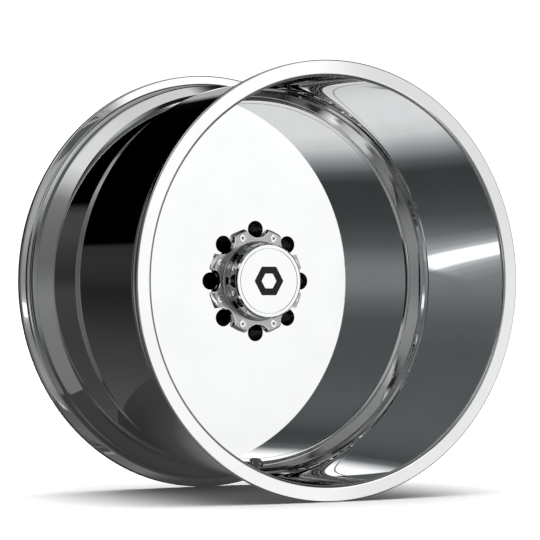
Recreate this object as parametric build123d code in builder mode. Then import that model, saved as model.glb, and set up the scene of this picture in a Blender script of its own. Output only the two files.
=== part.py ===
from build123d import *
import os
from math import sin, cos, tan, radians, pi

# Deep-dish forged truck wheel, 26 x 16 inch, eight studs on a 170 mm circle.
# The axle lies on Y.  The dished outboard side looks towards -Y, +Z is up, and
# the origin is on the axle, half way across the rim.  All lengths are in mm.
# Profiles are given as (radius, depth): depth is measured along the axle from
# the outboard face of the front flange.

os.makedirs("parts", exist_ok=True)

# ---------------------------------------------------------------- dimensions
rim_width = 427.5            # over both flanges: 16 in between beads
flange_r = 348.0             # outside of the flanges
flange_t = 10.0              # flange thickness
seat_r = 330.2               # 26 in bead seat at the flange heel
lip_in_front, lip_in_rear = 322.0, 315.5    # polished dish wall
lip_out_front, lip_out_rear = 327.6, 322.6  # tyre side of the same wall
well_r, well_in_r = 313.4, 306.0            # drop well, tyre and brake side

disc_depth = 250.0           # flat outboard face of the centre
disc_r = 292.4               # visible edge of the flat face
disc_seat_r = 296.9          # stepped edge behind the barrel's shoulder
web_t = 16.0
hub_pad_depth = 314.75       # mounting pad, 101 mm inboard of the rim centre
hub_pad_r = 108.0
hub_bore_r = 62.55
cap_recess_r, cap_recess_depth = 64.0, 256.5   # locates the cap's spigot
lug_circle_r = 85.0          # 8 x 170 mm
lug_hole_r = 7.75            # M14 stud
lug_pocket_r = 14.25
lug_seat_top = 289.5         # the 60 degree seat starts here
lug_seat_h = (lug_pocket_r - lug_hole_r) / tan(radians(30))

cap_flange_r = 88.0
cap_flange_top_r = 84.2
cap_flange_t = 9.0
cap_scallop_r, cap_scallop_at = 24.0, 95.0
cap_screw_at = 76.0
neck_top_depth = 226.0
puck_depth = 205.0
puck_r = 62.0
plate_r = 53.3

valve_at_r = 302.0           # where the stem crosses the plane of the centre
valve_tilt = 25.0            # lean of the stem towards the axle
valve_hole_r = 5.75
stem_r = 4.75
thread_r = 3.85

front = -rim_width / 2


def y(depth):
    return front + depth


def ring(points):
    """(radius, depth, corner radius) rows as sketch points and fillet radii."""
    return [(r, y(d)) for r, d, _ in points], [f for _, _, f in points]


def face_plane(depth):
    """Plane square to the axle, seen from outboard: X right, Z up."""
    return Plane(origin=(0, y(depth), 0), x_dir=(1, 0, 0), z_dir=(0, -1, 0))


def back_plane(depth):
    """The same plane seen from inboard."""
    return Plane(origin=(0, y(depth), 0), x_dir=(1, 0, 0), z_dir=(0, 1, 0))


# stem frame: its normal points out of the wheel along the valve stem
stem_dir = (0, -cos(radians(valve_tilt)), sin(radians(valve_tilt)))
stem_origin = (0, y(disc_depth), -valve_at_r)
stem_plane = Plane(origin=stem_origin, x_dir=(1, 0, 0), z_dir=stem_dir)
stem_axis = Axis(stem_origin, stem_dir)
# half-plane through the stem's axis, for turned profiles: (radius, height)
stem_section = Plane(origin=stem_origin, x_dir=(1, 0, 0),
                     z_dir=(0, -stem_dir[2], stem_dir[1]))

# -------------------------------------------------------------------- barrel
# one spun forging: polished dish wall, stepped ring that holds the centre,
# drop well, two bead seats with humps, two flanges
barrel_pts, barrel_rad = ring([
    (lip_in_front, 0.0, 5.5),
    (lip_in_rear, 216.5, 1.5),
    (311.8, 219.0, 0.8),
    (309.6, 224.0, 1.2),
    (306.8, 225.6, 1.0),
    (303.6, 235.0, 2.0),
    (298.6, disc_depth, 8.0),
    (disc_r + 0.1, disc_depth, 0.0),
    (disc_r + 0.1, 258.0, 0.0),
    (disc_seat_r + 0.1, 258.0, 0.0),
    (disc_seat_r + 0.1, 274.0, 1.5),
    (well_in_r, 294.0, 6.0),
    (well_in_r + 1.6, 362.0, 8.0),
    (322.5, 391.0, 8.0),
    (323.5, rim_width, 4.5),
    (flange_r, rim_width, 2.4),
    (flange_r, rim_width - flange_t, 2.4),
    (seat_r, rim_width - flange_t - 1.0, 6.5),
    (328.5, 394.5, 1.5),
    (330.0, 391.0, 1.5),
    (328.6, 387.0, 1.0),
    (well_r + 1.6, 361.5, 3.0),
    (well_r, 283.0, 6.0),
    (lip_out_rear, 246.5, 1.2),
    (lip_out_front, 57.0, 3.0),
    (330.2, 51.0, 1.4),
    (330.2, 47.5, 1.4),
    (328.3, 42.0, 2.0),
    (seat_r, flange_t + 1.0, 6.5),
    (flange_r, flange_t, 2.4),
    (flange_r, 0.0, 2.2),
])
with BuildPart() as barrel:
    with BuildSketch(Plane.XY.rotated((0, 200, 0))):   # the seam stays clear of the valve hole
        with BuildLine():
            FilletPolyline(*barrel_pts, radius=barrel_rad, close=True)
        make_face()
    revolve(axis=Axis.Y)
    # drilled valve hole with a milled seat on the dish side and on the tyre side
    with BuildSketch(stem_plane.offset(-48)):
        Circle(valve_hole_r)
    extrude(amount=50, mode=Mode.SUBTRACT)
    with BuildSketch(stem_plane):
        Circle(10.4)
    extrude(amount=32, mode=Mode.SUBTRACT)
    with BuildSketch(stem_plane.offset(-24)):
        Circle(9.4)
    extrude(amount=-28, mode=Mode.SUBTRACT)
barrel.part.label = "barrel"
export_step(barrel.part, "parts/barrel.step")

# --------------------------------------------------------------- centre disc
disc_pts, disc_rad = ring([
    (hub_bore_r, cap_recess_depth, 0.0),
    (cap_recess_r, cap_recess_depth, 0.0),
    (cap_recess_r, disc_depth + 0.5, 0.0),
    (cap_recess_r + 0.5, disc_depth, 0.0),
    (disc_r - 0.7, disc_depth, 0.0),
    (disc_r, disc_depth + 0.7, 0.0),
    (disc_r, 258.0, 0.0),
    (disc_seat_r, 258.0, 0.0),
    (disc_seat_r, disc_depth + web_t, 0.0),
    (176.0, disc_depth + web_t, 40.0),
    (122.0, 284.0, 12.0),
    (hub_pad_r, 300.0, 10.0),
    (hub_pad_r, hub_pad_depth, 1.5),
    (hub_bore_r, hub_pad_depth, 0.0),
])
pocket_in_r, pocket_out_r, pocket_half = 184.0, 276.0, 18.6
pocket_edge = radians(pocket_half)
with BuildSketch() as web_pocket:
    with BuildLine():
        CenterArc((0, 0), pocket_in_r, -pocket_half, 2 * pocket_half)
        Line((pocket_in_r * cos(pocket_edge), pocket_in_r * sin(pocket_edge)),
             (pocket_out_r * cos(pocket_edge), pocket_out_r * sin(pocket_edge)))
        CenterArc((0, 0), pocket_out_r, -pocket_half, 2 * pocket_half)
        Line((pocket_in_r * cos(pocket_edge), -pocket_in_r * sin(pocket_edge)),
             (pocket_out_r * cos(pocket_edge), -pocket_out_r * sin(pocket_edge)))
    make_face()
    fillet(web_pocket.vertices(), radius=14)

with BuildPart() as centre_disc:
    with BuildSketch(Plane.XY):
        with BuildLine():
            FilletPolyline(*disc_pts, radius=disc_rad, close=True)
        make_face()
    revolve(axis=Axis.Y)
    # milled pockets in the back of the web leave eight ribs
    with BuildSketch(back_plane(disc_depth + web_t)):
        with PolarLocations(0, 8):
            add(web_pocket.sketch)
    extrude(amount=-6, mode=Mode.SUBTRACT)
    # pilot bore lead-in at the hub side
    chamfer(centre_disc.edges().filter_by(GeomType.CIRCLE)
            .filter_by(lambda e: abs(e.radius - hub_bore_r) < 0.01)
            .sort_by(Axis.Y)[-1], length=1.5)
    # stud holes: deep nut pocket, 60 degree seat, plain hole
    with BuildSketch(face_plane(disc_depth)):
        with PolarLocations(lug_circle_r, 8):
            Circle(lug_pocket_r)
    extrude(amount=-(lug_seat_top - disc_depth), mode=Mode.SUBTRACT)
    with BuildSketch(face_plane(lug_seat_top)):
        with PolarLocations(lug_circle_r, 8):
            Circle(lug_pocket_r)
    extrude(amount=-lug_seat_h, taper=30, mode=Mode.SUBTRACT)
    with BuildSketch(face_plane(lug_seat_top)):
        with PolarLocations(lug_circle_r, 8):
            Circle(lug_hole_r)
    extrude(amount=-40, mode=Mode.SUBTRACT)
    # relief drillings in the pad between the studs
    with BuildSketch(back_plane(hub_pad_depth)):
        with PolarLocations(lug_circle_r + 1, 8, start_angle=22.5):
            Circle(12)
    extrude(amount=-28, mode=Mode.SUBTRACT)
    # tapped holes for the cap screws
    with BuildSketch(face_plane(disc_depth)):
        with PolarLocations(cap_screw_at, 8, start_angle=22.5):
            Circle(4.05)
    extrude(amount=-20, mode=Mode.SUBTRACT)
centre_disc.part.label = "centre_disc"
export_step(centre_disc.part, "parts/centre_disc.step")

# ----------------------------------------------------------- weld at the back
weld_r = disc_seat_r + 0.1
weld_back = disc_depth + web_t
with BuildPart() as centre_weld:
    with BuildSketch(Plane.XY):
        with BuildLine():
            Polyline((weld_r - 6.5, y(weld_back)), (weld_r, y(weld_back)),
                     (weld_r, y(weld_back + 6.5)))
            ThreePointArc((weld_r, y(weld_back + 6.5)),
                          (weld_r - 4.2, y(weld_back + 4.2)),
                          (weld_r - 6.5, y(weld_back)))
        make_face()
    revolve(axis=Axis.Y)
centre_weld.part.label = "centre_weld"
export_step(centre_weld.part, "parts/centre_weld.step")

# ------------------------------------------------------------------ cap base
cap_top = disc_depth - cap_flange_t
base_pts, base_rad = ring([
    (30.0, neck_top_depth, 0.5),
    (53.0, neck_top_depth, 0.0),
    (53.0, neck_top_depth + 2.0, 0.0),
    (56.0, neck_top_depth + 2.0, 0.0),
    (56.0, neck_top_depth, 0.0),
    (60.6, neck_top_depth, 0.5),
    (64.8, cap_top, 2.0),
    (cap_flange_top_r, cap_top, 0.8),
    (cap_flange_r, disc_depth - 1.6, 0.6),
    (cap_flange_r, disc_depth, 0.0),
    (cap_recess_r - 0.15, disc_depth, 0.0),
    (cap_recess_r - 0.15, disc_depth + 6.0, 0.8),
    (52.0, disc_depth + 6.0, 0.5),
    (52.0, neck_top_depth + 5.0, 1.0),
    (30.0, neck_top_depth + 5.0, 0.5),
])
with BuildPart() as cap_base:
    with BuildSketch(Plane.XY):
        with BuildLine():
            FilletPolyline(*base_pts, radius=base_rad, close=True)
        make_face()
    revolve(axis=Axis.Y)
    # scallops clear the stud pockets and leave eight tabs
    with BuildSketch(face_plane(disc_depth + 1)):
        with PolarLocations(cap_scallop_at, 8):
            Circle(cap_scallop_r)
    extrude(amount=cap_flange_t + 2, mode=Mode.SUBTRACT)
    # screw recess and clearance hole in every tab
    with BuildSketch(face_plane(cap_top)):
        with PolarLocations(cap_screw_at, 8, start_angle=22.5):
            Circle(6.8)
    extrude(amount=-5.2, mode=Mode.SUBTRACT)
    with BuildSketch(face_plane(cap_top)):
        with PolarLocations(cap_screw_at, 8, start_angle=22.5):
            Circle(4.4)
    extrude(amount=-cap_flange_t - 1, mode=Mode.SUBTRACT)
    # clearance holes for the puck screws
    with BuildSketch(face_plane(neck_top_depth)):
        with PolarLocations(42, 6, start_angle=30):
            Circle(2.9)
    extrude(amount=-6, mode=Mode.SUBTRACT)
cap_base.part.label = "cap_base"
export_step(cap_base.part, "parts/cap_base.step")

# ---------------------------------------------------------------- cap screws
# eight M8 low-head socket screws
with BuildPart() as cap_screws:
    with BuildSketch(face_plane(cap_top + 5.2)):
        with PolarLocations(cap_screw_at, 8, start_angle=22.5):
            Circle(6.5)
    extrude(amount=5.0)
    chamfer(cap_screws.faces().group_by(Axis.Y)[0].edges(), length=0.6)
    with BuildSketch(face_plane(cap_top + 5.2)):
        with PolarLocations(cap_screw_at, 8, start_angle=22.5):
            Circle(4.0)
    extrude(amount=-20)
    with BuildSketch(face_plane(cap_top + 0.2)):
        with PolarLocations(cap_screw_at, 8, start_angle=22.5):
            RegularPolygon(radius=2.5, side_count=6, major_radius=False)
    extrude(amount=-3.0, mode=Mode.SUBTRACT)
cap_screws.part.label = "cap_screws"
export_step(cap_screws.part, "parts/cap_screws.step")

# ------------------------------------------------------------------ cap puck
puck_pts, puck_rad = ring([
    (0.0, puck_depth + 3.0, 0.0),
    (plate_r + 0.25, puck_depth + 3.0, 0.0),
    (plate_r + 0.25, puck_depth, 0.3),
    (59.0, puck_depth, 1.2),
    (puck_r - 0.4, puck_depth + 2.6, 1.2),
    (puck_r, neck_top_depth - 1.6, 0.8),
    (puck_r - 1.4, neck_top_depth, 0.0),
    (34.0, neck_top_depth, 0.0),
    (34.0, neck_top_depth - 9.0, 3.0),
    (0.0, neck_top_depth - 9.0, 0.0),
])
with BuildPart() as cap_puck:
    with BuildSketch(Plane.XY):
        with BuildLine():
            FilletPolyline(*puck_pts, radius=puck_rad, close=True)
        make_face()
    revolve(axis=Axis.Y)
    # blind tapped holes, entered from the back
    with BuildSketch(back_plane(neck_top_depth)):
        with PolarLocations(42, 6, start_angle=30):
            Circle(2.55)
    extrude(amount=-11, mode=Mode.SUBTRACT)
cap_puck.part.label = "cap_puck"
export_step(cap_puck.part, "parts/cap_puck.step")

# ----------------------------------------------------------- cap sealing ring
with BuildPart() as cap_seal_ring:
    with BuildSketch(Plane.XY):
        with Locations((54.5, y(neck_top_depth + 1.0))):
            Circle(0.98)
    revolve(axis=Axis.Y)
cap_seal_ring.part.label = "cap_seal_ring"
export_step(cap_seal_ring.part, "parts/cap_seal_ring.step")

# --------------------------------------------------------------- puck screws
# six M5 socket screws, put in from the brake side
with BuildPart() as puck_screws:
    with BuildSketch(back_plane(neck_top_depth + 5.0)):
        with PolarLocations(42, 6, start_angle=30):
            Circle(4.25)
    extrude(amount=5.0)
    chamfer(puck_screws.faces().group_by(Axis.Y)[-1].edges(), length=0.4)
    with BuildSketch(back_plane(neck_top_depth + 5.0)):
        with PolarLocations(42, 6, start_angle=30):
            Circle(2.5)
    extrude(amount=-14)
    with BuildSketch(back_plane(neck_top_depth + 10.0)):
        with PolarLocations(42, 6, start_angle=30):
            RegularPolygon(radius=2.0, side_count=6, major_radius=False)
    extrude(amount=-2.5, mode=Mode.SUBTRACT)
puck_screws.part.label = "puck_screws"
export_step(puck_screws.part, "parts/puck_screws.step")

# -------------------------------------------------------------- emblem plate
plate_top = puck_depth + 0.15
mark_across, mark_hole = 27.0, 13.5
with BuildPart() as emblem_plate:
    with BuildSketch(face_plane(puck_depth + 3.0)):
        Circle(plate_r)
    extrude(amount=2.85)
    chamfer(emblem_plate.faces().sort_by(Axis.Y)[0].edges(), length=0.5)
    with BuildSketch(face_plane(plate_top)) as mark_bed:
        RegularPolygon(radius=mark_across + 0.08, side_count=6)
        fillet(mark_bed.vertices(), radius=3)
        Circle(mark_hole - 0.08, mode=Mode.SUBTRACT)
    extrude(amount=-0.8, mode=Mode.SUBTRACT)
emblem_plate.part.label = "emblem_plate"
export_step(emblem_plate.part, "parts/emblem_plate.step")

# a plain hexagon with a round hole, in dark enamel
with BuildPart() as emblem_mark:
    with BuildSketch(face_plane(plate_top + 0.8)) as mark:
        RegularPolygon(radius=mark_across, side_count=6)
        fillet(mark.vertices(), radius=3)
        Circle(mark_hole, mode=Mode.SUBTRACT)
    extrude(amount=0.9)
emblem_mark.part.label = "emblem_mark"
export_step(emblem_mark.part, "parts/emblem_mark.step")

# --------------------------------------------------------------------- valve
# heights along the stem are measured outwards from the milled seat
with BuildPart() as valve_body:
    with BuildSketch(stem_section):
        with BuildLine():
            Polyline((1.6, -29.5), (8.1, -29.5), (8.5, -29.1), (8.5, -27.0),
                     (stem_r, -27.0), (stem_r, 7.7), (thread_r, 8.2),
                     (thread_r, 11.2), (thread_r - 0.3, 11.5), (2.65, 11.5),
                     (2.65, -6.0), (1.6, -6.6), close=True)
        make_face()
    revolve(axis=stem_axis)
valve_body.part.label = "valve_body"
export_step(valve_body.part, "parts/valve_body.step")

with BuildPart() as valve_grommet:
    with BuildSketch(stem_section):
        with BuildLine():
            Polyline((stem_r + 0.05, -27.0), (8.2, -27.0), (8.6, -26.5),
                     (8.6, -24.0), (valve_hole_r - 0.05, -24.0),
                     (valve_hole_r - 0.05, -15.0), (stem_r + 0.05, -15.0),
                     close=True)
        make_face()
    revolve(axis=stem_axis)
valve_grommet.part.label = "valve_grommet"
export_step(valve_grommet.part, "parts/valve_grommet.step")

with BuildPart() as valve_washer:
    with BuildSketch(stem_plane):
        Circle(9.6)
        Circle(stem_r + 0.1, mode=Mode.SUBTRACT)
    extrude(amount=1.5)
    chamfer(valve_washer.faces().sort_by(stem_axis)[-1].outer_wire().edges(), length=0.3)
valve_washer.part.label = "valve_washer"
export_step(valve_washer.part, "parts/valve_washer.step")

with BuildPart() as valve_nut:
    with BuildSketch(stem_plane.offset(1.5)):
        RegularPolygon(radius=8.5, side_count=6, major_radius=False)
        Circle(stem_r + 0.05, mode=Mode.SUBTRACT)
    extrude(amount=6.0)
    # turned chamfer on the six corners
    with BuildSketch(stem_section):
        with BuildLine():
            Polyline((8.3, 7.6), (10.6, 7.6), (10.6, 6.2), close=True)
        make_face()
    revolve(axis=stem_axis, mode=Mode.SUBTRACT)
valve_nut.part.label = "valve_nut"
export_step(valve_nut.part, "parts/valve_nut.step")

with BuildPart() as valve_core_body:
    with BuildSketch(stem_section):
        with BuildLine():
            Polyline((0.65, -2.0), (2.0, -2.0), (2.0, 4.0), (2.6, 4.6),
                     (2.6, 10.2), (2.4, 10.4), (1.3, 10.4), (1.3, 3.0),
                     (0.65, 3.0), close=True)
        make_face()
    revolve(axis=stem_axis)
valve_core_body.part.label = "valve_core_body"
export_step(valve_core_body.part, "parts/valve_core_body.step")

with BuildPart() as valve_core_seal:
    with BuildSketch(stem_plane):
        Circle(2.6)
        Circle(2.05, mode=Mode.SUBTRACT)
    extrude(amount=2.5)
valve_core_seal.part.label = "valve_core_seal"
export_step(valve_core_seal.part, "parts/valve_core_seal.step")

with BuildPart() as valve_pin:
    with BuildSketch(stem_section):
        with BuildLine():
            Polyline((0, -4.2), (1.5, -4.2), (1.5, -3.0), (0.6, -3.0),
                     (0.6, 9.0), (1.2, 9.0), (1.2, 9.6), (0.6, 9.6),
                     (0.6, 10.8), (0.4, 11.0), (0, 11.0), close=True)
        make_face()
    revolve(axis=stem_axis)
valve_pin.part.label = "valve_pin"
export_step(valve_pin.part, "parts/valve_pin.step")

with BuildPart() as valve_pin_seal:
    with BuildSketch(stem_plane.offset(-3.0)):
        Circle(1.5)
        Circle(0.62, mode=Mode.SUBTRACT)
    extrude(amount=1.0)
valve_pin_seal.part.label = "valve_pin_seal"
export_step(valve_pin_seal.part, "parts/valve_pin_seal.step")

spring_low, spring_high, spring_r, wire_r = 3.17, 8.83, 0.95, 0.15
with BuildPart() as valve_spring:
    with BuildLine():
        coil = Helix(pitch=0.95, height=spring_high - spring_low, radius=spring_r,
                     center=stem_plane.offset(spring_low).origin, direction=stem_dir)
    with BuildSketch(Plane(origin=coil @ 0, z_dir=coil % 0)):
        Circle(wire_r)
    sweep(path=coil, is_frenet=True)
valve_spring.part.label = "valve_spring"
export_step(valve_spring.part, "parts/valve_spring.step")

with BuildPart() as valve_cap:
    with BuildSketch(stem_section):
        with BuildLine():
            Polyline((thread_r + 0.05, 8.4), (4.9, 8.4), (4.9, 14.2), (4.1, 15.2),
                     (0, 15.2), (0, 12.4), (thread_r + 0.05, 12.4), close=True)
        make_face()
    revolve(axis=stem_axis)
    # finger flutes
    with BuildSketch(stem_plane.offset(9.2)):
        with PolarLocations(5.15, 12):
            Circle(0.55)
    extrude(amount=4.2, mode=Mode.SUBTRACT)
valve_cap.part.label = "valve_cap"
export_step(valve_cap.part, "parts/valve_cap.step")

with BuildPart() as valve_cap_seal:
    with BuildSketch(stem_plane.offset(11.5)):
        Circle(thread_r)
        Circle(1.9, mode=Mode.SUBTRACT)
    extrude(amount=0.9)
valve_cap_seal.part.label = "valve_cap_seal"
export_step(valve_cap_seal.part, "parts/valve_cap_seal.step")
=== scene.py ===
from math import atan2, ceil, cos, hypot, pi, radians, sin, sqrt, tan

import bmesh
import bpy
import numpy as np
from mathutils import Matrix, Vector


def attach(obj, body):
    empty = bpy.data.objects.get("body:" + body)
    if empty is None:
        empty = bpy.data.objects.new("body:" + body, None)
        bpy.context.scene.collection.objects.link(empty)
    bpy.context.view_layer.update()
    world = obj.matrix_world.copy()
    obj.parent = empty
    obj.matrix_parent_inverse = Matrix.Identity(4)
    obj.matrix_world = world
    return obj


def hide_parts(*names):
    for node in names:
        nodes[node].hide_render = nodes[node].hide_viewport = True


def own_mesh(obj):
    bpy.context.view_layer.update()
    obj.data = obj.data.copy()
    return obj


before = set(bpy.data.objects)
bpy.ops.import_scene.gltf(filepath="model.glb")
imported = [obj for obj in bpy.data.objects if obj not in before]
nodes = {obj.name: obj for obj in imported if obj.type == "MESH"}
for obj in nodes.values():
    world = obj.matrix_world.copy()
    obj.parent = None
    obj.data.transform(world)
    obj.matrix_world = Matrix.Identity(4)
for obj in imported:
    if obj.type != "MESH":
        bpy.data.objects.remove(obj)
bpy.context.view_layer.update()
MM = 0.001
FRONT = -213.75                      # outboard face of the front flange, on Y
SEG = 512                            # steps round the big turned surfaces


def yd(depth):
    return FRONT + depth


# ------------------------------------------------------------------ profiles
def rounded(rows, step=7.0, closed=True):
    """Rows of (radius, depth, corner radius) to smooth runs: each run is a list of
    (r, d, nr, nd) with the outward normal, and neighbouring runs meet in a crease."""
    n = len(rows)
    pts = [Vector((r, d)) for r, d, _ in rows]
    area = sum(pts[i].x * pts[(i + 1) % n].y - pts[(i + 1) % n].x * pts[i].y for i in range(n))
    turn = 1.0 if area > 0 else -1.0
    corner = []
    for i in range(n):
        p, a, b, f = pts[i], pts[i - 1], pts[(i + 1) % n], rows[i][2]
        if not closed and i in (0, n - 1) or f <= 0:
            corner.append([p])
            continue
        u, v = (a - p).normalized(), (b - p).normalized()
        ang = u.angle(v)
        t = f / tan(ang / 2)
        t = min(t, 0.499 * min((a - p).length, (b - p).length)) if t > 0 else t
        f = t * tan(ang / 2)
        c = p + (u + v).normalized() * (f / sin(ang / 2))
        s, e = p + u * t - c, p + v * t - c
        sweep = s.angle(e)
        k = max(3, int(ceil(sweep / radians(step))))
        sgn = 1 if s.x * e.y - s.y * e.x > 0 else -1
        a0 = atan2(s.y, s.x)
        corner.append([c + Vector((cos(a0 + sgn * sweep * j / k), sin(a0 + sgn * sweep * j / k))) * f
                       for j in range(k + 1)] + [(c, f, sgn)])
    runs, run = [], []
    order = range(n + 1) if closed else range(n)
    start = next((i for i in range(n) if rows[i][2] <= 0), 0) if closed else 0

    def line_normal(a, b):
        d = (b - a).normalized()
        return Vector((d.y, -d.x)) * turn

    for q in order:
        i = (start + q) % n
        c = corner[i]
        if len(c) == 1:
            if run:
                prev = run[-1]
                nn = line_normal(Vector(prev[:2]), c[0])
                if len(run) == 1 and run[0][2] is None:
                    run[0] = (*run[0][:2], nn.x, nn.y)
                run.append((c[0].x, c[0].y, nn.x, nn.y))
                runs.append(run)
            run = [(c[0].x, c[0].y, None, None)]
        else:
            centre, f, sgn = c[-1]
            if closed and q == n:
                c = [c[0], c[-1]]
            for pt in c[:-1]:
                nn = (pt - centre) / f * (sgn * turn)
                if run and run[-1][2] is None:
                    run[-1] = (*run[-1][:2], nn.x, nn.y)
                run.append((pt.x, pt.y, nn.x, nn.y))
            if closed and q == n:
                runs.append(run)
                run = []
    if not closed and run and len(run) > 1:
        runs.append(run)
    return runs


def to_mesh(name, verts, faces, loop_normals=None, mats=None):
    me = bpy.data.meshes.new(name)
    me.from_pydata(verts, [], faces)
    if mats is not None:
        me.polygons.foreach_set("material_index", mats)
    me.polygons.foreach_set("use_smooth", [True] * len(me.polygons))
    if loop_normals is not None:
        me.normals_split_custom_set(loop_normals)
    me.update()
    ob = bpy.data.objects.new(name, me)
    bpy.context.scene.collection.objects.link(ob)
    return ob


# a turned solid, in any frame: origin + r*(cos, sin in the u-v plane) + h*axis
class Turn:
    def __init__(self, origin, axis, u):
        self.o = Vector(origin)
        self.a = Vector(axis).normalized()
        self.u = Vector(u).normalized()
        self.v = self.a.cross(self.u)


AXLE = Turn((0, 0, 0), (0, 1, 0), (1, 0, 0))
TILT = radians(25.0)
STEM = Turn((0, yd(250.0) * MM, -0.302), (0, -cos(TILT), sin(TILT)), (1, 0, 0))


def lathe(name, rows, seg, turn=AXLE, shift=FRONT, closed=True, step=7.0, wave=None):
    """Mesh turned from the profile rows; returns the object and its runs."""
    runs = rounded(rows, step, closed)
    verts, faces, normals = [], [], []
    index = {}

    def vid(r, h, j):
        key = (round(r, 5), round(h, 5), 0 if r < 1e-6 else j % seg)
        if key not in index:
            t = 2 * pi * (j % seg) / seg
            rr = r + (wave(r, h, t) if wave else 0)
            p = turn.o + (turn.u * cos(t) + turn.v * sin(t)) * (rr * MM) + turn.a * ((h + shift) * MM)
            index[key] = len(verts)
            verts.append(p)
        return index[key]

    def nrm(nr, nh, j):
        t = 2 * pi * (j % seg) / seg
        return (turn.u * cos(t) + turn.v * sin(t)) * nr + turn.a * nh

    for run in runs:
        for k in range(len(run) - 1):
            p, q = run[k], run[k + 1]
            if hypot(p[0] - q[0], p[1] - q[1]) < 1e-6:
                continue
            for j in range(seg):
                quad = [(p, j), (q, j), (q, j + 1), (p, j + 1)]
                ids = [vid(x[0], x[1], jj) for x, jj in quad]
                nn = [nrm(x[2], x[3], jj) for x, jj in quad]
                keep, kn = [], []
                for i_, n_ in zip(ids, nn):
                    if not keep or i_ not in keep:
                        keep.append(i_)
                        kn.append(n_)
                if len(keep) < 3:
                    continue
                a, b, c = verts[keep[0]], verts[keep[1]], verts[keep[2]]
                if (b - a).cross(c - a).dot(kn[0] + kn[1] + kn[2]) < 0:
                    keep.reverse()
                    kn.reverse()
                faces.append(keep)
                normals.extend(kn)
    ob = to_mesh(name, verts, faces, None if wave else [tuple(n) for n in normals])
    return ob, runs


def prism(name, outline, plane, h0, h1, mat=0):
    """Closed prism of a 2D outline on (origin, u, v, n) between heights h0 and h1, in mm."""
    o, u, v, n = (Vector(x) for x in plane)
    m = len(outline)
    verts = [o + (u * x + v * y_ + n * h) * MM for h in (h0, h1) for x, y_ in outline]
    faces = [list(range(m)), list(range(m, 2 * m))]
    faces += [[i, (i + 1) % m, m + (i + 1) % m, m + i] for i in range(m)]
    me = bpy.data.meshes.new(name)
    me.from_pydata([tuple(p) for p in verts], [], faces)
    bm = bmesh.new()
    bm.from_mesh(me)
    bmesh.ops.recalc_face_normals(bm, faces=bm.faces)
    bm.to_mesh(me)
    bm.free()
    ob = bpy.data.objects.new(name, me)
    bpy.context.scene.collection.objects.link(ob)
    return ob


def front_plane(depth):
    return ((0, yd(depth) * MM, 0), (1, 0, 0), (0, 0, 1), (0, -1, 0))


def circle(x, y_, r, k=64):
    return [(x + r * cos(2 * pi * i / k), y_ + r * sin(2 * pi * i / k)) for i in range(k)]


def polar(r, count, start=0.0):
    return [(r * cos(radians(start) + 2 * pi * i / count), r * sin(radians(start) + 2 * pi * i / count))
            for i in range(count)]


def join(objs, name):
    """Merge meshes into the first one (all still in world coordinates)."""
    bm = bmesh.new()
    for o in objs:
        bm.from_mesh(o.data)
    me = bpy.data.meshes.new(name)
    bm.to_mesh(me)
    bm.free()
    for o in objs:
        bpy.data.objects.remove(o)
    ob = bpy.data.objects.new(name, me)
    bpy.context.scene.collection.objects.link(ob)
    return ob


def cut(ob, cutter, solver="EXACT"):
    """Boolean difference. Faces that come from the cutter get material index 1."""
    for o in (ob, cutter):
        o.data.materials.clear()
    ob.data.materials.append(tmp_a)
    cutter.data.materials.append(tmp_b)
    m = ob.modifiers.new("cut", "BOOLEAN")
    m.operation = "DIFFERENCE"
    m.object = cutter
    m.solver = solver
    if solver == "EXACT":
        m.material_mode = "TRANSFER"
    dg = bpy.context.evaluated_depsgraph_get()
    me = bpy.data.meshes.new_from_object(ob.evaluated_get(dg))
    cut_slots = [i for i, mt in enumerate(me.materials) if mt == tmp_b]
    ob.modifiers.clear()
    old = ob.data
    ob.data = me
    me.name = old.name
    bpy.data.meshes.remove(old)
    idx = np.zeros(len(me.polygons), np.int32)
    me.polygons.foreach_get("material_index", idx)
    idx = np.isin(idx, cut_slots).astype(np.int32)
    me.materials.clear()
    me.polygons.foreach_set("material_index", idx)
    bpy.data.objects.remove(cutter)
    return ob


tmp_a = bpy.data.materials.new("tmp_a")
tmp_b = bpy.data.materials.new("tmp_b")


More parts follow.
